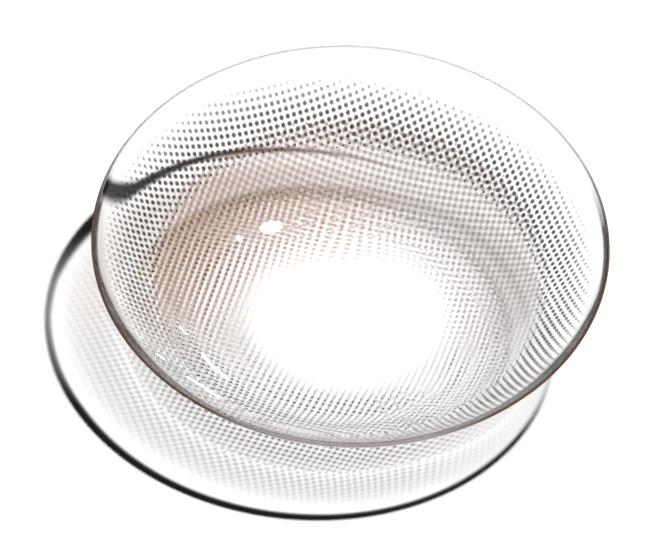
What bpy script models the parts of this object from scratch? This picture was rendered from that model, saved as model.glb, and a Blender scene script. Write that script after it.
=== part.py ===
"""Tinted soft contact lens, lying bowl up on the middle of its front surface.

Metres, +Z up. The origin is the centre of the small spot that the lens rests
on, and +Z is the lens's axis. The lens is one cast shell of clear hydrogel,
so it is one revolved solid: its back surface is worked out from the base
curve, and its front surface from the back one and the wall's thickness. The
print of the iris is a thin layer of ink laid into the wall, which is thicker
by it, so it belongs to the same solid and has a colour of its own.
"""

import math

import bmesh
import bpy
import numpy as np

# Overall size.
DIAMETER = 14.2e-3

# Back surface, the one that meets the eye.
BASE_CURVE = 8.7e-3
PERIPHERAL_CURVE = 13.0e-3
PERIPHERY_WIDTH = 1.1e-3

# A soft lens settles a little where it lies, so its apex is flat.
REST_SPOT_RADIUS = 0.45e-3
REST_SPOT_BLEND = 0.5e-3

# Wall, measured square to the back surface.
CENTRE_THICKNESS = 0.08e-3
CARRIER_THICKNESS = 0.15e-3
EDGE_THICKNESS = 0.07e-3
OPTIC_ZONE_DIAMETER = 8.0e-3
CARRIER_BLEND = 1.6e-3
BEVEL_WIDTH = 0.65e-3

# Print of the iris: ink in the wall, from the pupil to a clear rim.
PUPIL_DIAMETER = 5.4e-3
CLEAR_RIM_WIDTH = 0.65e-3
INK_THICKNESS = 0.012e-3
INK_BORDER = 0.06e-3

# Fineness of the mesh.
PUPIL_STEPS = 6
PRINT_STEPS = 11
RIM_STEPS = 6
EDGE_STEPS = 6
SEGMENTS = 80
SLOPE_SAMPLES = 4000
WELD = 1e-7

HYDROGEL_COLOUR = (0.93, 0.93, 0.95, 1.0)
PRINT_COLOUR = (0.33, 0.25, 0.21, 1.0)


def smoothstep(x):
    """0 below 0, 1 above 1, and an even curve between."""
    x = np.clip(x, 0.0, 1.0)
    return x * x * (3.0 - 2.0 * x)


def sine_of_slope(r):
    """Sine of the back surface's slope at radius r.

    It grows as r over the base curve, as on a sphere, is nil over the rest
    spot, and grows more slowly in the flatter periphery.
    """
    junction = DIAMETER / 2 - PERIPHERY_WIDTH
    settled = smoothstep((r - REST_SPOT_RADIUS) / REST_SPOT_BLEND)
    central = np.minimum(r, junction) / BASE_CURVE
    outer = np.maximum(r - junction, 0.0) / PERIPHERAL_CURVE
    return settled * central + outer


def back_height(radii):
    """Height of the back surface at each radius: its slope, summed outwards."""
    fine = np.linspace(0.0, DIAMETER / 2, SLOPE_SAMPLES)
    sine = sine_of_slope(fine)
    slope = sine / np.sqrt(1.0 - sine * sine)
    steps = (slope[1:] + slope[:-1]) / 2 * np.diff(fine)
    return CENTRE_THICKNESS + np.interp(
        radii, fine, np.concatenate([[0.0], np.cumsum(steps)])
    )


def edge_radius():
    """Radius at which the back surface runs into the round of the edge."""
    tip = EDGE_THICKNESS / 2
    centre = DIAMETER / 2 - tip
    return centre - tip * float(sine_of_slope(centre))


def print_radius():
    """Radius at which the print ends and the clear rim starts."""
    return DIAMETER / 2 - CLEAR_RIM_WIDTH


def ink(r):
    """Ink on the wall at radius r: nil in the pupil and on the clear rim."""
    rise = smoothstep((r - PUPIL_DIAMETER / 2) / INK_BORDER)
    fall = smoothstep((print_radius() - r) / INK_BORDER)
    return INK_THICKNESS * rise * fall


def thickness(r):
    """Wall at radius r: thin optic zone, thicker carrier, bevelled edge.

    The bevel thins the wall by the square of the share of the way across it,
    so the front surface runs into it without a crease.
    """
    carrier = smoothstep((r - OPTIC_ZONE_DIAMETER / 2) / CARRIER_BLEND)
    wall = CENTRE_THICKNESS + (CARRIER_THICKNESS - CENTRE_THICKNESS) * carrier
    bevel_start = edge_radius() - BEVEL_WIDTH
    bevel = np.clip((r - bevel_start) / BEVEL_WIDTH, 0.0, 1.0)
    return wall + (EDGE_THICKNESS - wall) * bevel**2 + ink(r)


def front_radius(r):
    """Radius of the front surface's point square to the back surface's at r."""
    return r + thickness(r) * sine_of_slope(r)


def stations():
    """Radii at which the section has points, each border of the print among them."""
    edge = edge_radius()
    pupil = PUPIL_DIAMETER / 2
    stretches = [
        np.linspace(0.0, REST_SPOT_RADIUS, 3),
        np.linspace(REST_SPOT_RADIUS, pupil, PUPIL_STEPS + 1),
        np.linspace(pupil + INK_BORDER, print_radius() - INK_BORDER, PRINT_STEPS + 1),
        np.linspace(print_radius(), edge, RIM_STEPS + 1),
    ]
    return np.unique(np.concatenate(stretches))


def section():
    """Closed half section as (radius, height) points, from axis to axis.

    It starts at the axis on the front surface, runs out below, round the
    edge, and back in over the back surface, so the revolved faces look out.
    """
    r = stations()
    z = back_height(r)
    sine = sine_of_slope(r)
    front_r = front_radius(r)
    front_z = z - thickness(r) * np.sqrt(1.0 - sine * sine)

    # Half circle round the edge, from the front surface to the back one.
    angle = math.asin(float(sine[-1]))
    turn = np.linspace(-math.pi / 2, math.pi / 2, EDGE_STEPS + 1)[1:-1] + angle
    middle_r = (r[-1] + front_r[-1]) / 2
    middle_z = (z[-1] + front_z[-1]) / 2
    tip = EDGE_THICKNESS / 2
    round_r = middle_r + tip * np.cos(turn)
    round_z = middle_z + tip * np.sin(turn)

    points = np.column_stack(
        [
            np.concatenate([front_r, round_r, r[::-1]]),
            np.concatenate([front_z, round_z, z[::-1]]),
        ]
    )
    return points


def material(name, colour, roughness, alpha):
    """Principled BSDF for one finish."""
    made = bpy.data.materials.new(name)
    made.use_nodes = True
    shader = made.node_tree.nodes["Principled BSDF"]
    shader.inputs["Base Color"].default_value = colour
    shader.inputs["Roughness"].default_value = roughness
    shader.inputs["Metallic"].default_value = 0.0
    shader.inputs["IOR"].default_value = 1.42
    shader.inputs["Alpha"].default_value = alpha
    made.diffuse_color = colour[:3] + (alpha,)
    return made


def revolved_mesh(name, points):
    """Mesh of the section turned once round +Z, welded at its seam and poles."""
    mesh = bpy.data.meshes.new(name)
    work = bmesh.new()
    verts = [work.verts.new((r, 0.0, z)) for r, z in points.tolist()]
    edges = [work.edges.new(pair) for pair in zip(verts, verts[1:])]
    bmesh.ops.spin(
        work,
        geom=verts + edges,
        cent=(0.0, 0.0, 0.0),
        axis=(0.0, 0.0, 1.0),
        angle=2.0 * math.pi,
        steps=SEGMENTS,
        use_duplicate=False,
    )
    bmesh.ops.remove_doubles(work, verts=work.verts, dist=WELD)
    bmesh.ops.dissolve_degenerate(work, edges=work.edges, dist=WELD)
    bmesh.ops.recalc_face_normals(work, faces=work.faces)
    for face in work.faces:
        face.smooth = True
    work.to_mesh(mesh)
    work.free()
    return mesh


def colour_print(mesh):
    """Gives the front surface's faces over the print the colour of the ink."""
    inner, outer = front_radius(np.array([PUPIL_DIAMETER / 2, print_radius()]))
    for face in mesh.polygons:
        in_band = inner < math.hypot(face.center.x, face.center.y) < outer
        face.material_index = 1 if in_band and face.normal.z < 0.0 else 0


def build():
    for old in list(bpy.data.objects):
        bpy.data.objects.remove(old, do_unlink=True)
    mesh = revolved_mesh("lens", section())
    mesh.materials.append(material("hydrogel", HYDROGEL_COLOUR, 0.06, 0.3))
    mesh.materials.append(material("iris_print", PRINT_COLOUR, 0.35, 0.75))
    colour_print(mesh)
    lens = bpy.data.objects.new("lens", mesh)
    bpy.context.scene.collection.objects.link(lens)


if __name__ == "__main__":
    build()
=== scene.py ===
"""Looks of a tinted soft contact lens that lies bowl up on a white floor.

Metres, +Z up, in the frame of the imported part: the origin is the spot that
the lens rests on. The lens is a shell of clear hydrogel, revolved from the
same sizes as the part. Two halftone screens of ink lie in its wall, a brown
one round the pupil and a dark one towards the rim.
"""

import logging
import math
from dataclasses import dataclass, field
from enum import Enum

import bpy
import numpy as np
from mathutils import Matrix, Vector


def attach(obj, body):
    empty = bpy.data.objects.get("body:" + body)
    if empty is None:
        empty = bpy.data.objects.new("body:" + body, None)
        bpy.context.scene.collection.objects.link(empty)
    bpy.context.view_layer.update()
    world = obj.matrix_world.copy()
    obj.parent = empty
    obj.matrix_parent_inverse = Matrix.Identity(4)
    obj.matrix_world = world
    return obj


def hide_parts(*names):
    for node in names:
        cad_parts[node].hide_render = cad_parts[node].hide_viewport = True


MM = 1e-3

# Shadows fall this far below the rest spot, inside the floor's sheet.
FLOOR_DROP = 0.46 * MM

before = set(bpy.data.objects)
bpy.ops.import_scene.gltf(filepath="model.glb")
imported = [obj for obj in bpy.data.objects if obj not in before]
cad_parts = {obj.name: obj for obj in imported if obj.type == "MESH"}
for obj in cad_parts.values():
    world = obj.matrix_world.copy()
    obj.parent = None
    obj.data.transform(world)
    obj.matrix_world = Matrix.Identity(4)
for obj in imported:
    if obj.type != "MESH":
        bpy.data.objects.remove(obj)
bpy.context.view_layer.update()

log = logging.getLogger("contact_lens")


class Ray(Enum):
    """Kinds of ray that a surface can tell apart, by their Light Path output."""

    CAMERA = "Is Camera Ray"
    SHADOW = "Is Shadow Ray"
    DIFFUSE = "Is Diffuse Ray"
    GLOSSY = "Is Glossy Ray"
    REFLECTION = "Is Reflection Ray"
    REFLECTED_BEFORE = "Glossy Depth"
    TRANSMISSION = "Is Transmission Ray"


def smoothstep(x: np.ndarray) -> np.ndarray:
    """0 below 0, 1 above 1, and 3x² − 2x³ between."""
    x = np.clip(x, 0.0, 1.0)
    return x * x * (3.0 - 2.0 * x)


def rising(x: np.ndarray, start: float, end: float) -> np.ndarray:
    """0 up to start, 1 from end, and a smoothstep between."""
    return smoothstep((x - start) / (end - start))


@dataclass(frozen=True)
class Side:
    """One side of the lens, with a share that is greatest there.

    turn_deg is its turn round the axis. nil and full are the cosines of the
    turn away from there at which the share is 0 and 1.
    """

    turn_deg: float
    nil: float
    full: float

    def share(self, plan: np.ndarray) -> np.ndarray:
        """Smoothstep of the cosine of the turn away, from nil to full.

        Args:
            plan: Points in plan, one row each.

        Returns:
            The share at each point.
        """
        away = np.arctan2(plan[:, 1], plan[:, 0]) - math.radians(self.turn_deg)
        return rising(np.cos(away), self.nil, self.full)


def linear(colour: str) -> tuple[float, float, float, float]:
    """Linear RGBA of an sRGB colour written as #rrggbb."""
    shares = [int(colour[i : i + 2], 16) / 255 for i in (1, 3, 5)]
    red, green, blue = (
        c / 12.92 if c <= 0.04045 else ((c + 0.055) / 1.055) ** 2.4 for c in shares
    )
    return red, green, blue, 1.0


def add_node(
    tree: bpy.types.NodeTree,
    kind: str,
    settings: dict[str, object] | None = None,
    sockets: dict[str | int, object] | None = None,
) -> bpy.types.Node:
    """Adds one shader node.

    Args:
        tree: The node tree that it goes into.
        kind: The node's type, without its ShaderNode prefix.
        settings: Properties of the node.
        sockets: Input values by name or number. An output socket is linked.

    Returns:
        The node.
    """
    node = tree.nodes.new("ShaderNode" + kind)
    for key, value in (settings or {}).items():
        setattr(node, key, value)
    for key, value in (sockets or {}).items():
        if isinstance(value, bpy.types.NodeSocket):
            tree.links.new(value, node.inputs[key])
        else:
            node.inputs[key].default_value = value
    return node


def new_surface(name: str) -> tuple[bpy.types.Material, bpy.types.NodeTree]:
    """Makes an empty material.

    Args:
        name: The material's name.

    Returns:
        The material and its node tree, cleared of every node.
    """
    material = bpy.data.materials.new(name)
    material.use_nodes = True
    material.node_tree.nodes.clear()
    return material, material.node_tree


def any_ray(tree: bpy.types.NodeTree, *rays: Ray) -> bpy.types.NodeSocket:
    """Adds nodes that tell whether a ray is of one of some kinds.

    Args:
        tree: The node tree.
        rays: The kinds of ray.

    Returns:
        A socket that is 1 for those rays and 0 for others.
    """
    path = add_node(tree, "LightPath")
    found = path.outputs[rays[0].value]
    for ray in rays[1:]:
        either = {"operation": "MAXIMUM"}
        both = {0: found, 1: path.outputs[ray.value]}
        found = add_node(tree, "Math", either, both).outputs[0]
    return found


def solid_mesh(name: str, points: np.ndarray, faces: list[np.ndarray]) -> bpy.types.Mesh:
    """Makes a smooth mesh.

    Args:
        name: The mesh's name.
        points: Vertices, one row each.
        faces: Arrays of faces, one row of vertex numbers for each face.

    Returns:
        The mesh.
    """
    mesh = bpy.data.meshes.new(name)
    mesh.from_pydata(points.tolist(), [], [row for block in faces for row in block.tolist()])
    mesh.polygons.foreach_set("use_smooth", np.ones(len(mesh.polygons), bool))
    mesh.update()
    return mesh


def note_on_points(mesh: bpy.types.Mesh, name: str, values: np.ndarray) -> None:
    """Gives a mesh an attribute that its material reads.

    Args:
        mesh: The mesh.
        name: The attribute's name.
        values: For each point one number, or a row of three.
    """
    kind, key = ("FLOAT", "value") if values.ndim == 1 else ("FLOAT_VECTOR", "vector")
    attribute = mesh.attributes.new(name, kind, "POINT")
    attribute.data.foreach_set(key, values.reshape(-1).astype(np.float32))


def show(mesh: bpy.types.Mesh, material: bpy.types.Material) -> bpy.types.Object:
    """Puts a mesh into the scene as a piece of the lens.

    Args:
        mesh: The mesh, in its final place.
        material: Its finish.

    Returns:
        The object, which moves with the lens.
    """
    piece = bpy.data.objects.new(mesh.name, mesh)
    mesh.materials.append(material)
    bpy.context.scene.collection.objects.link(piece)
    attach(piece, "root")
    log.info("%s: %d faces, %s", piece.name, len(mesh.polygons), material.name)
    return piece


@dataclass(frozen=True)
class LensForm:
    """Shape of the lens, as the part has it."""

    diameter: float = 14.2 * MM
    base_curve: float = 8.7 * MM
    peripheral_curve: float = 13.0 * MM
    periphery_width: float = 1.1 * MM
    rest_spot_radius: float = 0.45 * MM
    rest_spot_blend: float = 0.5 * MM
    centre_thickness: float = 0.08 * MM
    carrier_thickness: float = 0.15 * MM
    edge_thickness: float = 0.07 * MM
    optic_zone_diameter: float = 8.0 * MM
    carrier_blend: float = 1.6 * MM
    bevel_width: float = 0.65 * MM
    bevel_power: float = 2.0
    slope_samples: int = 4000

    def sine_of_slope(self, r: np.ndarray) -> np.ndarray:
        """Sine of the back surface's slope.

        Radius over base curve, as on a sphere, growing more slowly in the
        periphery, and eased to nil over the rest spot.

        Args:
            r: Radii from the lens's axis.

        Returns:
            The sine at each radius.
        """
        junction = self.diameter / 2 - self.periphery_width
        settled = smoothstep((r - self.rest_spot_radius) / self.rest_spot_blend)
        central = np.minimum(r, junction) / self.base_curve
        outer = np.maximum(r - junction, 0.0) / self.peripheral_curve
        return settled * central + outer

    def back_height(self, r: np.ndarray) -> np.ndarray:
        """Height of the back surface: the tangent of its slope, summed outwards.

        Args:
            r: Radii from the lens's axis.

        Returns:
            The height at each radius.
        """
        fine = np.linspace(0.0, self.diameter / 2, self.slope_samples)
        sine = self.sine_of_slope(fine)
        tangent = sine / np.sqrt(1.0 - sine * sine)
        steps = (tangent[1:] + tangent[:-1]) / 2 * np.diff(fine)
        summed = np.concatenate([[0.0], np.cumsum(steps)])
        return self.centre_thickness + np.interp(r, fine, summed)

    def edge_radius(self) -> float:
        """Radius at which the back surface runs into the round of the edge."""
        tip = self.edge_thickness / 2
        centre = self.diameter / 2 - tip
        return centre - tip * float(self.sine_of_slope(np.array(centre)))

    def thickness(self, r: np.ndarray) -> np.ndarray:
        """Thickness of the wall, square to the back surface.

        Thin in the optic zone, thicker in the carrier, and bevelled by the
        square of the share of the way to the edge.

        Args:
            r: Radii from the lens's axis.

        Returns:
            The thickness at each radius.
        """
        carrier = smoothstep((r - self.optic_zone_diameter / 2) / self.carrier_blend)
        wall = self.centre_thickness + (self.carrier_thickness - self.centre_thickness) * carrier
        bevel = np.clip((r - self.edge_radius()) / self.bevel_width + 1.0, 0.0, 1.0)
        return wall + (self.edge_thickness - wall) * bevel**self.bevel_power

    def foot_radius(self, plan_radius: np.ndarray, depth: float) -> np.ndarray:
        """Foot on the back surface of a point that lies below it in the wall.

        It inverts plan radius = foot radius + depth · sine of the slope.

        Args:
            plan_radius: The point's distance from the axis.
            depth: Its distance from the back surface.

        Returns:
            The radius of its foot.
        """
        fine = np.linspace(0.0, self.diameter / 2, self.slope_samples)
        return np.interp(plan_radius, fine + depth * self.sine_of_slope(fine), fine)

    def point_in_wall(self, r: np.ndarray, depth: np.ndarray) -> tuple[np.ndarray, np.ndarray]:
        """Points below the back surface, square to it.

        Args:
            r: Radii of the points' feet on the back surface.
            depth: Distances from the back surface, into the wall.

        Returns:
            Radius and height of each point.
        """
        sine = self.sine_of_slope(r)
        return r + depth * sine, self.back_height(r) - depth * np.sqrt(1.0 - sine * sine)


@dataclass(frozen=True)
class PrintShade:
    """Shade that one screen of the print throws, softened on its way down.

    The lamp is wide, so what is left of a dot pattern is its mean cover and
    one wave along each way of its lattice. cells names an attribute with two
    lattice counts and the cover at each of the shell's points, and waves one
    with the heights of both waves and the share of a painted warm glow, which
    colours the shade on one side.
    """

    cells: str
    waves: str
    cool: str
    # Painted glow: a warm colour that the shade takes on one side.
    painted_glow: str

    def add_to(self, tree: bpy.types.NodeTree, light: bpy.types.NodeSocket) -> bpy.types.NodeSocket:
        """Adds nodes that shade light by cover · (1 + v cos 2πi) · (1 + w cos 2πj).

        Args:
            tree: The node tree.
            light: The colour of the light that arrives.

        Returns:
            The colour of the light that gets through.
        """
        cells, waves = (
            add_node(
                tree,
                "SeparateXYZ",
                sockets={0: add_node(tree, "Attribute", {"attribute_name": name}).outputs["Vector"]},
            ).outputs
            for name in (self.cells, self.waves)
        )
        cover = cells[2]
        for count, height in zip(cells[:2], waves[:2], strict=True):
            turns = add_node(tree, "Math", {"operation": "MULTIPLY"}, {0: count, 1: 2 * math.pi})
            crest = add_node(tree, "Math", {"operation": "COSINE"}, {0: turns.outputs[0]})
            swell = {0: crest.outputs[0], 1: height, 2: 1.0}
            wave = add_node(tree, "Math", {"operation": "MULTIPLY_ADD"}, swell)
            veil = {"operation": "MULTIPLY", "use_clamp": True}
            cover = add_node(tree, "Math", veil, {0: cover, 1: wave.outputs[0]}).outputs[0]
        # Painted glow: the shade turns warm on one side.
        ends = {0: waves[2], 6: linear(self.cool), 7: linear(self.painted_glow)}
        ink = add_node(tree, "Mix", {"data_type": "RGBA"}, ends).outputs[2]
        multiply = {"data_type": "RGBA", "blend_type": "MULTIPLY"}
        return add_node(tree, "Mix", multiply, {0: cover, 6: light, 7: ink}).outputs[2]


@dataclass(frozen=True)
class SoftHydrogel:
    """Hydrogel, cast and polished, wet with saline.

    To the eye: as clear as water and glossy. It tints faintly where the line
    of sight runs along the wall. On two sides the bevel seen aslant is
    painted near black, a painted reflection of dark surroundings. Its cut
    edge is frosted, a dull mauve line that is brown on those two sides. The
    edge turns lamplight away, so it throws a dark ring.
    """

    print_shades: tuple[PrintShade, ...]
    name: str = "wet_clear_hydrogel"
    ior: float = 1.42
    edge_roughness: float = 0.9
    clear: str = "#ffffff"
    grazed: str = "#cdc6c9"
    wall_slants: tuple[float, ...] = (0.7, 0.92)
    # Painted reflection: on two sides the bevel seen aslant is painted near black.
    painted_crescent_colour: str = "#0a0705"
    painted_crescent_slants: tuple[float, ...] = (0.25, 0.42, 0.85, 0.97)
    frost: str = "#b3a6a9"
    side_frost: str = "#6a4a37"
    edge_shadow: str = "#14100e"

    def tint(self, tree: bpy.types.NodeTree, bevel: bpy.types.NodeSocket) -> bpy.types.NodeSocket:
        """Adds the gel's tint, which depends on how aslant it is seen.

        A slant is 0 where the surface faces the eye and 1 where it is seen
        edge on. Each list of slants has a colour for each of its places.

        Args:
            tree: The node tree.
            bevel: Share of the painted dark crescent in the bevel's tint.

        Returns:
            The tint.
        """
        slant = add_node(tree, "LayerWeight", sockets={"Blend": 0.5}).outputs["Facing"]
        tints = []
        for places, colours in (
            (self.wall_slants, (self.clear, self.grazed)),
            (self.painted_crescent_slants, (self.clear, self.painted_crescent_colour, self.painted_crescent_colour, self.grazed)),
        ):
            ramp = add_node(tree, "ValToRGB", sockets={"Fac": slant})
            stops = ramp.color_ramp.elements
            while len(stops) < len(places):
                stops.new(0.5)
            for stop, place, colour in zip(stops, places, colours, strict=True):
                stop.position = place
                stop.color = linear(colour)
            tints.append(ramp.outputs["Color"])
        # sides is the bevel's ramp, with its painted dark crescent.
        wall, sides = tints
        return add_node(tree, "Mix", {"data_type": "RGBA"}, {0: bevel, 6: wall, 7: sides}).outputs[2]

    def make(self) -> bpy.types.Material:
        """Makes the material, which reads the mesh's edge attributes."""
        material, tree = new_surface(self.name)
        # bevel is the share of the painted dark crescent.
        tip, frosting, bevel, dark = (
            add_node(tree, "Attribute", {"attribute_name": name}).outputs["Fac"]
            for name in ("edge_tip", "edge_frosting", "edge_painted_crescent", "edge_shade")
        )
        rough = add_node(tree, "Math", {"operation": "MULTIPLY"}, {0: tip, 1: self.edge_roughness})
        gel = add_node(
            tree,
            "BsdfPrincipled",
            sockets={
                "Base Color": self.tint(tree, bevel),
                "Roughness": rough.outputs[0],
                "IOR": self.ior,
                "Transmission Weight": 1.0,
            },
        )
        ends = {0: dark, 6: linear(self.clear), 7: linear(self.edge_shadow)}
        cast = add_node(tree, "Mix", {"data_type": "RGBA"}, ends).outputs[2]
        for shade in self.print_shades:
            cast = shade.add_to(tree, cast)
        through = add_node(tree, "BsdfTransparent", sockets={"Color": cast})
        # The frost is brown where the dark crescent is painted.
        ends = {0: bevel, 6: linear(self.frost), 7: linear(self.side_frost)}
        dull = add_node(tree, "Mix", {"data_type": "RGBA"}, ends).outputs[2]
        cut = add_node(tree, "BsdfDiffuse", sockets={"Color": dull})
        sockets = {0: frosting, 1: gel.outputs[0], 2: cut.outputs[0]}
        body = add_node(tree, "MixShader", sockets=sockets)
        passing = any_ray(tree, Ray.SHADOW, Ray.DIFFUSE)
        sockets = {0: passing, 1: body.outputs[0], 2: through.outputs[0]}
        whole = add_node(tree, "MixShader", sockets=sockets)
        add_node(tree, "OutputMaterial", sockets={"Surface": whole.outputs[0]})
        return material


@dataclass(frozen=True)
class ScreenInk:
    """Iron oxide pigment in a hydrogel binder, pad printed.

    To the eye: dull dots with soft borders and no gloss of their own. On the
    side that faces the lamp they get a painted warm glow. The shell's material
    throws their shade, and they don't show in the shell's own reflections,
    where each would be drawn many times over.
    """

    name: str
    cool: str
    # Painted glow: a warm colour that the ink takes on one side.
    painted_glow: str
    roughness: float = 0.6
    specular: float = 0.2

    def make(self) -> bpy.types.Material:
        """Makes the material, which reads the mesh's ink attributes."""
        material, tree = new_surface(self.name)
        spread, painted_glow_share = (
            add_node(tree, "Attribute", {"attribute_name": name}).outputs["Fac"]
            for name in ("ink_cover", "ink_painted_glow")
        )
        # Painted glow: the ink turns warm on one side.
        ends = {0: painted_glow_share, 6: linear(self.cool), 7: linear(self.painted_glow)}
        colour = add_node(tree, "Mix", {"data_type": "RGBA"}, ends).outputs[2]
        hidden = any_ray(tree, Ray.SHADOW, Ray.REFLECTED_BEFORE)
        sockets = {"Value": hidden, "To Min": 1.0, "To Max": 0.0}
        most = add_node(tree, "MapRange", sockets=sockets).outputs[0]
        cover = add_node(tree, "Math", {"operation": "MULTIPLY"}, {0: spread, 1: most}).outputs[0]
        pigment = add_node(
            tree,
            "BsdfPrincipled",
            sockets={
                "Base Color": colour,
                "Roughness": self.roughness,
                "Specular IOR Level": self.specular,
                "Alpha": cover,
            },
        )
        add_node(tree, "OutputMaterial", sockets={"Surface": pigment.outputs[0]})
        return material


@dataclass(frozen=True)
class PrintingPad:
    """The soft pad that carries a flat print onto the bowl.

    A point at radius f of the flat print lands at the plan radius
    f · (1 − draw · f² + ease · f⁴), so the print is drawn in towards the rim.
    """

    draw: float = 3.56e-3 / MM**2
    ease: float = 2.61e-5 / MM**4
    reach: float = 9.0 * MM
    samples: int = 2000
    least_radius: float = 1e-6 * MM

    def carry(self, flat: np.ndarray) -> np.ndarray:
        """Moves points of the flat print to their places in plan.

        Args:
            flat: Points, with x and y along the last axis.

        Returns:
            The points in plan, in the same shape.
        """
        square = np.sum(flat * flat, axis=-1, keepdims=True)
        return flat * (1.0 - self.draw * square + self.ease * square * square)

    def flatten(self, plan: np.ndarray) -> np.ndarray:
        """Undoes carry, by reading its radii the other way round.

        Args:
            plan: Points in plan, with x and y along the last axis.

        Returns:
            Their places on the flat print.
        """
        flat = np.linspace(0.0, self.reach, self.samples)
        carried = self.carry(np.column_stack([flat, np.zeros_like(flat)]))[:, 0]
        r = np.maximum(np.hypot(plan[..., 0], plan[..., 1]), self.least_radius)
        return plan * (np.interp(r, carried, flat) / r)[..., None]


@dataclass(frozen=True)
class HalftoneScreen:
    """One colour of the print: dots on a slightly skewed square lattice.

    The size of a dot and the cover of its ink follow the distance from the
    print's centre, at size_radii. The dots differ by side. On the shade_join
    side they are drawn out along the lattice's second way, joined by up to
    shade_join into stripes: the joins are painted shade, ink where the dots'
    shadows lie between them. On the thin side the ink runs thin outwards, by
    up to thinning, and on the painted glow side it gets a painted warm glow.
    The shade under the stripes loses up to join_wave_cut of its second wave,
    and on the net side it keeps separate dots.
    """

    name: str
    form: LensForm
    pad: PrintingPad
    ink: ScreenInk
    pitch: tuple[float, float]
    turn_deg: float
    skew_deg: float
    origin: tuple[float, float]
    size_radii: tuple[float, ...]
    dot_radii: tuple[float, ...]
    dot_covers: tuple[float, ...]
    centre: tuple[float, float]
    # Painted shade: how far dots are joined into stripes where their shadows lie between them.
    shade_join: float
    stripe_ink: float
    thinning: float
    thin_side: Side
    shade_gain: float
    shade_colours: tuple[str, str]
    shade_spread: tuple[float, float] = (0.02, 0.022)
    # Painted warm glow: the side where the shade turns warm, and the side and radii where the ink does.
    shade_painted_glow_side: Side = Side(130.0, 0.3, 0.9)
    painted_glow_side: Side = Side(165.0, -0.5, 0.8)
    painted_glow_radii: tuple[float, float] = (2.6 * MM, 4.2 * MM)
    # Painted shade: the side of the stripes, and how much of the shade's second wave goes under them.
    shade_join_side: Side = Side(240.0, -0.75, 0.15)
    join_wave_cut: float = 0.6
    net_side: Side = Side(-90.0, 0.2, 0.7)
    net_radii: tuple[float, float] = (3.8 * MM, 4.3 * MM)
    stripe: float = 0.1 * MM
    stripe_narrowing: float = 0.22
    stripe_covers: tuple[float, float] = (0.5, 1.0)
    thin_radii: tuple[float, float] = (0.0, 0.1 * MM)
    oval: float = 0.0
    oval_turn_deg: float = 155.0
    depth: float = 0.06 * MM
    ink_thickness: float = 0.006 * MM
    core: float = 0.65
    border: float = 1.35
    sides: int = 10
    least_dot: float = 0.008 * MM
    reach: int = 110

    def steps(self) -> np.ndarray:
        """The lattice's two steps on the flat print, one row each."""
        turns = np.radians([self.turn_deg, self.turn_deg - 90 + self.skew_deg])
        return np.array(self.pitch)[:, None] * np.column_stack([np.cos(turns), np.sin(turns)])

    def counts(self, flat: np.ndarray) -> np.ndarray:
        """Steps along each way of the lattice, from its origin to points.

        Args:
            flat: Points on the flat print, one row each.

        Returns:
            Two counts for each point, whole at the middle of a dot.
        """
        return (flat - np.array(self.origin)) @ np.linalg.inv(self.steps())

    def from_centre(self, plan: np.ndarray) -> np.ndarray:
        """Distance of points in plan from the print's centre, as on an oval."""
        away = plan - np.array(self.centre)
        turn = math.radians(self.oval_turn_deg)
        axis = np.array([math.cos(turn), math.sin(turn)])
        away = away - self.oval * (away @ axis)[:, None] * axis
        return np.hypot(away[:, 0], away[:, 1])

    def size_at(self, plan: np.ndarray) -> np.ndarray:
        """Radius on the flat print of a dot at each point in plan."""
        r = self.from_centre(plan)
        return np.interp(r, self.size_radii, self.dot_radii, left=0.0, right=0.0)

    def shade_join_at(self, plan: np.ndarray) -> np.ndarray:
        """Share of the way from dots to stripes of painted shade at points in plan."""
        return self.shade_join * self.shade_join_side.share(plan)

    def painted_glow_at(self, plan: np.ndarray) -> np.ndarray:
        """Share of painted warm glow at points in plan, on one side, growing outwards."""
        r = np.hypot(plan[:, 0], plan[:, 1])
        return self.painted_glow_side.share(plan) * rising(r, *self.painted_glow_radii)

    def thin_at(self, plan: np.ndarray) -> np.ndarray:
        """Share by which the ink has run thin at points in plan."""
        return self.thin_side.share(plan) * rising(self.from_centre(plan), *self.thin_radii)

    def cover_at(self, plan: np.ndarray) -> np.ndarray:
        """Cover of the ink at points in plan."""
        even = np.interp(self.from_centre(plan), self.size_radii, self.dot_covers)
        return even * (1.0 - self.thinning * self.thin_at(plan))

    def shade(self, plan: np.ndarray, height: np.ndarray) -> tuple[np.ndarray, np.ndarray]:
        """What the shell's material needs, to throw the print's shade.

        The cover is a dot's area over the lattice's. A wave's height is that
        of a disc's first harmonic, about 2 exp(−(k s)² / 8) for a wave number
        k and a dot radius s. The lamp spreads it along x and y by shade_spread
        of the height, and a spread b along a wave takes exp(−(k b)² / 2). Under
        the stripes of painted shade it loses up to join_wave_cut of the second
        wave, but for the net.

        Args:
            plan: Points in plan, one row each.
            height: Their heights above the floor.

        Returns:
            Rows of two lattice counts and the cover, and rows of the heights
            of two waves and the share of the painted warm glow.
        """
        size = self.size_at(plan)
        steps = self.steps()
        cover = self.shade_gain * math.pi * size**2 / abs(np.linalg.det(steps))
        numbers = 2 * math.pi * steps / np.sum(steps * steps, axis=1, keepdims=True)
        blurs = np.sum((numbers * np.array(self.shade_spread)) ** 2, axis=1)
        decay = (np.sum(numbers**2, axis=1) / 8) * size[:, None] ** 2 + blurs / 2 * height[:, None] ** 2
        waves = np.minimum(2.0 * np.exp(-decay), 1.0)
        r = np.hypot(plan[:, 0], plan[:, 1])
        net = self.net_side.share(plan) * rising(r, *self.net_radii)
        waves[:, 1] *= 1.0 - self.join_wave_cut * self.shade_join_at(plan) * (1.0 - net)
        cells = np.column_stack([self.counts(self.pad.flatten(plan)), cover])
        return cells, np.column_stack([waves, self.shade_painted_glow_side.share(plan)])

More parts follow.
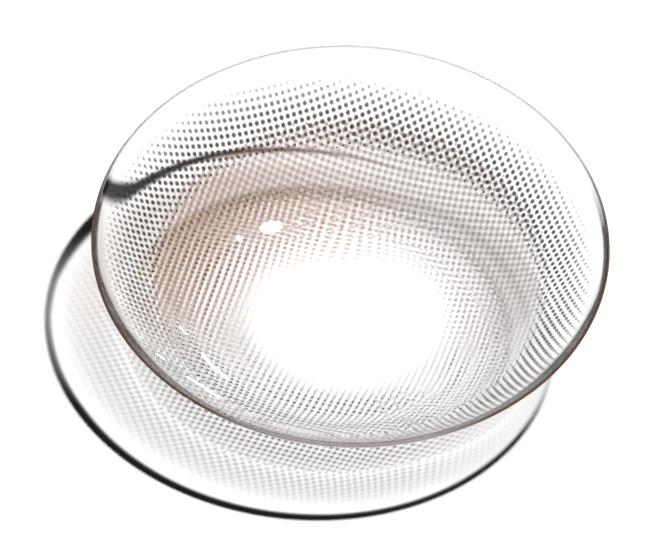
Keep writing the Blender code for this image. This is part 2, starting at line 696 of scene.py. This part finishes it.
    def dots(self) -> tuple[np.ndarray, np.ndarray]:
        """Lattice points that get a dot.

        Returns:
            Their places on the flat print, and each dot's radius there.
        """
        i, j = np.meshgrid(*[np.arange(-self.reach, self.reach + 1)] * 2)
        whole = np.column_stack([i.ravel(), j.ravel()])
        flat = np.array(self.origin) + whole @ self.steps()
        flat = flat[np.hypot(flat[:, 0], flat[:, 1]) < self.pad.reach]
        size = self.size_at(self.pad.carry(flat))
        kept = size > self.least_dot
        return flat[kept], size[kept]

    def mesh(self) -> bpy.types.Mesh:
        """Flat drops of ink, each outlined on the flat print and then carried.

        A drop has a core of full cover and a border that thins to nothing.
        Its upper side rises from the outline to the core and the middle, and
        its lower side is one flat face. Where dots are joined into stripes of
        painted shade, a drop is as long as a lattice step, a little narrower,
        and as much thinner.

        Returns:
            The mesh of all dots, with the ink attributes on its points.
        """
        flat, size = self.dots()
        middles = self.pad.carry(flat)
        # Painted shade: the drops are drawn out into stripes.
        shade_join = self.shade_join_at(middles)
        long = size + shade_join * (np.maximum(self.stripe, size) - size)
        cover = self.cover_at(middles) * np.clip(self.stripe_ink * size / long, *self.stripe_covers)
        wide = size * (1.0 - self.stripe_narrowing * shade_join)
        turn = np.arange(self.sides) * (2 * math.pi / self.sides)
        circle = np.column_stack([np.cos(turn), np.sin(turn)])
        shape = np.vstack([[[0.0, 0.0]], self.core * circle, self.border * circle])
        ways = self.steps() / np.linalg.norm(self.steps(), axis=1, keepdims=True)
        drops = (shape * np.stack([wide, long], axis=-1)[:, None, :]) @ ways
        plan = self.pad.carry(flat[:, None, :] + drops)
        plan_radius = np.hypot(plan[..., 0], plan[..., 1])
        away = plan / plan_radius[..., None]
        lift = np.repeat([1.0, 1.0, 0.0], [1, self.sides, self.sides])
        foot = self.form.foot_radius(plan_radius, self.depth)
        radius, height = self.form.point_in_wall(foot, self.depth - self.ink_thickness * lift)
        points = np.concatenate([away * radius[..., None], height[..., None]], axis=-1).reshape(-1, 3)

        number = np.arange(len(points)).reshape(len(flat), -1)
        middle, core, rim = number[:, :1], number[:, 1 : self.sides + 1], number[:, self.sides + 1 :]
        next_core, next_rim = np.roll(core, -1, axis=1), np.roll(rim, -1, axis=1)
        top = np.stack([np.broadcast_to(middle, core.shape), core, next_core], axis=-1)
        border = np.stack([core, rim, next_rim, next_core], axis=-1)
        mesh = solid_mesh(self.name, points, [top.reshape(-1, 3), border.reshape(-1, 4), rim[:, ::-1]])
        note_on_points(mesh, "ink_cover", (cover[:, None] * lift).reshape(-1))
        # The ink's share of painted warm glow.
        note_on_points(mesh, "ink_painted_glow", np.repeat(self.painted_glow_at(middles), len(shape)))
        return mesh

    def build(self) -> bpy.types.Object:
        """Builds and dresses the dots."""
        return show(self.mesh(), self.ink.make())


@dataclass(frozen=True)
class HydrogelShell:
    """The clear body of the lens, one revolved shell.

    The band that turns lamplight away has a width and a strength for each
    of some turns round the axis. The cut edge is frosted by the first share
    of frosting, or by the second on the frosted side. On the painted crescent
    sides the bevel is painted dark up to painted_crescent_width from the edge,
    a painted reflection. Band and painted crescent fade out over the last
    share of their width.

    The wall also moves the print's shade, by lean + growth · r², and by push
    where it leans away from the lamp, where the shade is thinner as well.
    """

    form: LensForm
    screens: tuple[HalftoneScreen, ...]
    surface_steps: int = 96
    bevel_steps: int = 24
    edge_steps: int = 10
    segments: int = 256
    # Painted reflection: how far in, and on which sides, the bevel is painted dark.
    painted_crescent_width: float = 0.13 * MM
    painted_crescent_fade: float = 0.25
    painted_crescent_sides: tuple[Side, ...] = (Side(203.0, 0.6, 0.85), Side(-20.0, 0.6, 0.85))
    frosting: tuple[float, float] = (0.3, 0.88)
    frosted_side: Side = Side(-95.0, -0.35, 0.3)
    band_turns: tuple[float, ...] = (-165, -150, -90, -45, -30, -15, 0, 60, 90, 120, 135, 150, 168, 180)
    band_widths: tuple[float, ...] = (17, 22, 25, 22, 17, 12, 6, 4, 10, 20, 30, 33, 16, 14)
    band_strengths: tuple[float, ...] = (0.72, 1, 1, 1, 1, 0.4, 0.15, 0.2, 0.8, 1, 1, 1, 0.6, 0.56)
    band_unit: float = 0.01 * MM
    band_fade: float = 1 / 3
    shade_lean: tuple[float, float] = (0.037 * MM, 0.098 * MM)
    shade_growth: tuple[float, float] = (-0.0041 / MM, -0.0012 / MM)
    shade_push: tuple[float, float] = (0.9 * MM, 0.12 * MM)
    push_side: Side = Side(15.0, 0.0, 0.8)
    push_thinning: float = 0.3
    floor_drop: float = FLOOR_DROP

    def section(self) -> tuple[np.ndarray, np.ndarray]:
        """Closed half section, from the axis out below and back in above.

        The front surface is the back one moved by the wall's thickness along
        its normal, and a half circle joins them round the edge.

        Returns:
            Points as rows of radius and height, and for each point the radius
            of its foot on the back surface.
        """
        form = self.form
        edge = form.edge_radius()
        r = np.concatenate(
            [
                np.linspace(0.0, edge - form.bevel_width, self.surface_steps),
                np.linspace(edge - form.bevel_width, edge, self.bevel_steps + 1)[1:],
            ]
        )
        back = np.column_stack([r, form.back_height(r)])
        front = np.column_stack(form.point_in_wall(r, form.thickness(r)))
        middle, tip = (back[-1] + front[-1]) / 2, form.edge_thickness / 2
        slope = math.asin(float(form.sine_of_slope(r[-1:])[0]))
        turn = np.linspace(-math.pi / 2, math.pi / 2, self.edge_steps + 1)[1:-1] + slope
        rim = middle + tip * np.column_stack([np.cos(turn), np.sin(turn)])
        feet = np.concatenate([r, np.full(len(rim), edge), r[::-1]])
        return np.vstack([front, rim, back[::-1]]), feet

    def mesh(self) -> bpy.types.Mesh:
        """Turns the section round the axis, each ring of it one row of a grid.

        Returns:
            The closed mesh, with the attributes that its material reads.
        """
        section, feet = self.section()
        rings = section[1:-1]
        angle = np.arange(self.segments) * (2 * math.pi / self.segments)
        x = rings[:, :1] * np.cos(angle)
        y = rings[:, :1] * np.sin(angle)
        z = np.repeat(rings[:, 1:], self.segments, axis=1)
        grid = np.stack([x, y, z], axis=-1).reshape(-1, 3)
        poles = np.array([[0.0, 0.0, section[0, 1]], [0.0, 0.0, section[-1, 1]]])
        points = np.vstack([grid, poles])

        number = np.arange(len(grid)).reshape(len(rings), self.segments)
        following = np.roll(number, -1, axis=1)
        quads = np.stack([number[:-1], following[:-1], following[1:], number[1:]], axis=-1)
        low = np.stack([np.full(self.segments, len(grid)), following[0], number[0]], axis=-1)
        high = np.stack([np.full(self.segments, len(grid) + 1), number[-1], following[-1]], axis=-1)
        mesh = solid_mesh("hydrogel_shell", points, [quads.reshape(-1, 4), low, high])

        front = np.arange(len(section))[1:-1] < len(section) // 2
        front = np.append(np.repeat(front, self.segments), [True, False])
        self.mark_edge(mesh, feet[1:-1], angle)
        self.mark_print(mesh, points, front)
        return mesh

    def mark_edge(self, mesh: bpy.types.Mesh, feet: np.ndarray, angle: np.ndarray) -> None:
        """Notes where the edge is cut, frosted, painted dark, and where it throws shade.

        Args:
            mesh: The shell, whose last two points are its poles.
            feet: Radius of each ring's foot on the back surface.
            angle: Turn round the axis of each point of a ring.
        """
        inward = (self.form.edge_radius() - feet)[:, None] / np.ones(self.segments)
        turn = np.degrees(angle)
        width = self.band_unit * np.interp(turn, self.band_turns, self.band_widths, period=360)
        strength = np.interp(turn, self.band_turns, self.band_strengths, period=360)
        circle = np.column_stack([np.cos(angle), np.sin(angle)])
        # sides is the share of the painted dark crescent at each turn.
        sides = sum(side.share(circle) for side in self.painted_crescent_sides)
        frosting = np.interp(self.frosted_side.share(circle), (0, 1), self.frosting)
        for name, values in (
            ("edge_tip", inward <= 0.0),
            ("edge_frosting", (inward <= 0.0) * frosting),
            ("edge_painted_crescent", sides * smoothstep((1.0 - inward / self.painted_crescent_width) / self.painted_crescent_fade)),
            ("edge_shade", strength * np.clip((1.0 - inward / width) / self.band_fade, 0.0, 1.0)),
        ):
            note_on_points(mesh, name, np.append(values.reshape(-1), [0.0, 0.0]))

    def mark_print(self, mesh: bpy.types.Mesh, points: np.ndarray, front: np.ndarray) -> None:
        """Notes each screen's shade, which the front surface alone throws.

        Args:
            mesh: The shell.
            points: Its points, one row each.
            front: Whether each of them is on the front surface.
        """
        plan = points[:, :2]
        square = np.sum(plan * plan, axis=1, keepdims=True)
        moved = np.array(self.shade_lean) + np.array(self.shade_growth) * square
        away = self.push_side.share(plan)
        dots_at = plan - moved - np.array(self.shade_push) * away[:, None]
        for screen in self.screens:
            cells, waves = screen.shade(dots_at, points[:, 2] + self.floor_drop)
            cells[:, 2] *= front * (1.0 - self.push_thinning * away)
            note_on_points(mesh, screen.name + "_cells", cells)
            note_on_points(mesh, screen.name + "_waves", waves)

    def build(self) -> bpy.types.Object:
        """Builds and dresses the shell, which stands for the part's solid."""
        shades = tuple(
            PrintShade(screen.name + "_cells", screen.name + "_waves", *screen.shade_colours)
            for screen in self.screens
        )
        shell = show(self.mesh(), SoftHydrogel(shades).make())
        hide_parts("lens")
        return shell


@dataclass(frozen=True)
class WhiteFloor:
    """Opal acrylic sheet, lit from above and a little from below.

    To the eye: plain white. Light goes a little way into it, so it is drawn
    at the depth where shadows fall. The sheet leans a little.
    """

    half: float = 60 * MM
    drop: float = FLOOR_DROP
    lean: tuple[float, float] = (0.0202, 0.0806)
    seen: float = 1.17
    colour: str = "#ffffff"

    def build(self) -> bpy.types.Object:
        """Builds and dresses the floor, which is no part of the lens."""
        corners = np.array([[-1, -1], [1, -1], [1, 1], [-1, 1]]) * self.half
        height = -self.drop - corners @ np.array(self.lean)
        points = np.column_stack([corners, height])
        mesh = solid_mesh("white_floor", points, [np.array([[0, 1, 2, 3]])])
        material, tree = new_surface("opal_acrylic")
        looked_at = any_ray(tree, Ray.CAMERA, Ray.GLOSSY, Ray.TRANSMISSION)
        white = linear(self.colour)
        glow = tuple(self.seen * share for share in white[:3]) + (1.0,)
        shade = add_node(tree, "Mix", {"data_type": "RGBA"}, {0: looked_at, 6: white, 7: glow})
        sheet = add_node(tree, "BsdfDiffuse", sockets={"Color": shade.outputs[2]})
        add_node(tree, "OutputMaterial", sockets={"Surface": sheet.outputs[0]})
        mesh.materials.append(material)
        floor = bpy.data.objects.new("white_floor", mesh)
        bpy.context.scene.collection.objects.link(floor)
        return floor


class LampShape(Enum):
    """Outlines of a lamp, by Blender's name for each."""

    OVAL = "ELLIPSE"
    BAR = "RECTANGLE"


@dataclass(frozen=True)
class GlossLamp:
    """A lamp that only shows as gloss.

    start and end are the middles of its two short sides, height is how far it
    reaches across them, and it faces aim. A lamp in the bowl itself stands
    close to the wall and doesn't show through it, as a far one does.
    """

    start: tuple[float, float, float]
    end: tuple[float, float, float]
    height: float
    aim: tuple[float, float, float] = (0.0, 0.0, 0.0)
    shape: LampShape = LampShape.OVAL
    in_bowl: bool = False
    glow: float = 90.0

    def build(self, name: str) -> bpy.types.Object:
        """Adds the lamp, with its radiance as glow."""
        start, end = Vector(self.start), Vector(self.end)
        middle, along = (start + end) / 2, (end - start).normalized()
        lamp = bpy.data.lights.new(name, "AREA")
        lamp.shape = self.shape.value
        lamp.size = (end - start).length
        lamp.size_y = self.height
        lamp.energy = self.glow * math.pi * lamp.size * lamp.size_y
        back = middle - Vector(self.aim)
        back = (back - along * back.dot(along)).normalized()
        holder = bpy.data.objects.new(name, lamp)
        holder.matrix_world = Matrix((along, back.cross(along), back)).transposed().to_4x4()
        holder.location = middle
        holder.visible_diffuse = False
        holder.visible_transmission = not self.in_bowl
        holder.visible_camera = False
        bpy.context.scene.collection.objects.link(holder)
        return holder


@dataclass(frozen=True)
class StudioLight:
    """A small key lamp high on the right, lamps for the gloss, and a weak fill.

    The room is white where it is looked at, also through the gel, and has the
    brightness room_gloss in a reflection.
    """

    towards_key: tuple[float, float, float] = (0.3221, -0.0195, 1.0)
    key_angle_deg: float = 2.0
    key_strength: float = 3.34
    gloss: tuple[GlossLamp, ...] = (
        GlossLamp((0.506, 0.108, 0.856), (0.400, 0.034, 0.916), 0.07),
        GlossLamp((0.606, 0.218, 0.765), (0.586, 0.200, 0.785), 0.035),
        GlossLamp(
            start=(-3.535 * MM, -1.533 * MM, 1.401 * MM),
            end=(-2.874 * MM, -2.315 * MM, 1.260 * MM),
            height=0.042 * MM,
            aim=(-3.544 * MM, -2.754 * MM, 1.320 * MM),
            shape=LampShape.BAR,
            in_bowl=True,
        ),
        GlossLamp(
            start=(-4.094 * MM, -0.785 * MM, 1.623 * MM),
            end=(-3.923 * MM, -1.014 * MM, 1.543 * MM),
            height=0.025 * MM,
            aim=(-4.497 * MM, -1.649 * MM, 1.490 * MM),
            in_bowl=True,
            glow=60.0,
        ),
    )
    fill_strength: float = 0.012
    room_gloss: float = 0.08

    def key(self) -> bpy.types.Object:
        """Adds the key lamp, whose own gloss is drawn by other lamps."""
        lamp = bpy.data.lights.new("key", "SUN")
        lamp.energy = self.key_strength
        lamp.angle = math.radians(self.key_angle_deg)
        holder = bpy.data.objects.new("key", lamp)
        holder.rotation_mode = "QUATERNION"
        holder.rotation_quaternion = Vector(self.towards_key).to_track_quat("Z", "Y")
        holder.visible_glossy = False
        bpy.context.scene.collection.objects.link(holder)
        return holder

    def build(self) -> None:
        """Adds the lamps and the world."""
        self.key()
        for number, lamp in enumerate(self.gloss):
            lamp.build(f"gloss_{number}")

        world = bpy.data.worlds.new("white_studio")
        world.use_nodes = True
        tree = world.node_tree
        tree.nodes.clear()
        seen = any_ray(tree, Ray.CAMERA, Ray.GLOSSY, Ray.TRANSMISSION)
        mirrored = any_ray(tree, Ray.REFLECTION)
        white = linear("#ffffff")
        fill = add_node(tree, "Background", sockets={"Color": white, "Strength": self.fill_strength})
        room = {"Value": mirrored, "To Min": 1.0, "To Max": self.room_gloss}
        strength = add_node(tree, "MapRange", sockets=room).outputs[0]
        backdrop = add_node(tree, "Background", sockets={"Color": white, "Strength": strength})
        sockets = {0: seen, 1: fill.outputs[0], 2: backdrop.outputs[0]}
        both = add_node(tree, "MixShader", sockets=sockets)
        add_node(tree, "OutputWorld", sockets={"Surface": both.outputs[0]})
        bpy.context.scene.world = world


@dataclass(frozen=True)
class PhotoCamera:
    """A camera with a long lens, in front of the lens and above it.

    aim is where the middle of the picture lies from the rest spot, along the
    picture's right and up. The sensor's width is in millimetres.
    """

    elevation_deg: float = 50.63
    roll_deg: float = 2.62
    distance: float = 450 * MM
    picture_width: int = 666
    pixels_per_metre: float = 36320.0
    aim: tuple[float, float] = (-0.377 * MM, 1.253 * MM)
    sensor: float = 36.0
    clip: tuple[float, float] = (0.01, 10.0)

    def build(self) -> bpy.types.Object:
        """Adds the camera and makes it the scene's."""
        lift, roll = math.radians(self.elevation_deg), math.radians(self.roll_deg)
        back = Vector((0.0, -math.cos(lift), math.sin(lift)))
        level_right = Vector((1.0, 0.0, 0.0))
        level_up = back.cross(level_right)
        right = level_right * math.cos(roll) + level_up * math.sin(roll)
        up = level_up * math.cos(roll) - level_right * math.sin(roll)

        data = bpy.data.cameras.new("photo_camera")
        data.sensor_width = self.sensor
        data.lens = self.pixels_per_metre * self.distance / self.picture_width * self.sensor
        data.clip_start, data.clip_end = self.clip
        camera = bpy.data.objects.new("photo_camera", data)
        camera.matrix_world = Matrix((right, up, back)).transposed().to_4x4()
        camera.location = right * self.aim[0] + up * self.aim[1] + back * self.distance
        bpy.context.scene.collection.objects.link(camera)
        bpy.context.scene.camera = camera
        return camera


@dataclass(frozen=True)
class TintedLens:
    """The whole lens: its shell and the two screens of its print."""

    form: LensForm = field(default_factory=LensForm)
    pad: PrintingPad = field(default_factory=PrintingPad)

    def dark_screen(self) -> HalftoneScreen:
        """The outer colour, whose dots shrink away towards the rim."""
        return HalftoneScreen(
            name="iris_screen_dark",
            form=self.form,
            pad=self.pad,
            # Ink colour, and the painted warm glow that it takes on one side.
            ink=ScreenInk("black_brown_ink", "#322a28", "#332925"),
            pitch=(0.2041 * MM, 0.2037 * MM),
            turn_deg=21.33,
            skew_deg=-0.59,
            origin=(-0.4763 * MM, 7.0493 * MM),
            size_radii=tuple(r * MM for r in (4.95, 5.10, 5.25, 5.4, 5.6, 5.8, 6.0, 6.2, 6.4, 6.5)),
            dot_radii=tuple(
                r * MM for r in (0.0, 0.035, 0.055, 0.067, 0.070, 0.070, 0.067, 0.061, 0.046, 0.022)
            ),
            dot_covers=(0.9, 0.9, 0.92, 0.95, 0.95, 0.94, 0.88, 0.76, 0.55, 0.3),
            centre=(-0.04 * MM, -0.07 * MM),
            oval=0.04,
            shade_join=0.9,
            shade_join_side=Side(-48.0, 0.6, 0.92),
            stripe_ink=1.6,
            thinning=0.7,
            thin_side=Side(250.0, 0.5, 0.95),
            shade_gain=0.95,
            # Shade colour, and the painted warm glow in it on one side.
            shade_colours=("#2b2422", "#7a5236"),
        )

    def brown_screen(self) -> HalftoneScreen:
        """The inner colour, whose dots grow outwards from the pupil."""
        return HalftoneScreen(
            name="iris_screen_brown",
            form=self.form,
            pad=self.pad,
            # Ink colour, and the painted warm glow that it takes on one side.
            ink=ScreenInk("grey_brown_ink", "#866050", "#9a6840"),
            pitch=(0.1921 * MM, 0.1954 * MM),
            turn_deg=-14.36,
            skew_deg=0.28,
            origin=(2.5283 * MM, 2.4152 * MM),
            size_radii=tuple(r * MM for r in (2.45, 2.6, 2.9, 3.2, 3.6, 4.3, 5.0, 5.4, 5.6)),
            dot_radii=tuple(
                r * MM for r in (0.028, 0.040, 0.050, 0.056, 0.062, 0.075, 0.082, 0.070, 0.0)
            ),
            dot_covers=(0.05, 0.3, 0.62, 0.7, 0.68, 0.73, 0.8, 0.74, 0.66),
            centre=(0.04 * MM, 0.18 * MM),
            core=0.25,
            border=1.7,
            shade_join=1.0,
            stripe_ink=1.35,
            thinning=0.88,
            thin_side=Side(272.0, -0.5, 0.9),
            thin_radii=(2.6 * MM, 4.6 * MM),
            shade_gain=0.85,
            # Shade colour, and the painted warm glow in it on one side.
            shade_colours=("#4a3a36", "#9c6c40"),
        )

    def build(self) -> None:
        """Builds each piece of the lens."""
        screens = (self.dark_screen(), self.brown_screen())
        HydrogelShell(self.form, screens).build()
        for screen in screens:
            screen.build()


def main() -> None:
    """Builds the lens and its studio, and reports each piece."""
    logging.basicConfig(level=logging.INFO, format="%(message)s")
    TintedLens().build()
    WhiteFloor().build()
    StudioLight().build()
    PhotoCamera().build()
    bpy.context.scene.view_settings.view_transform = "Standard"


if __name__ == "__main__":
    main()
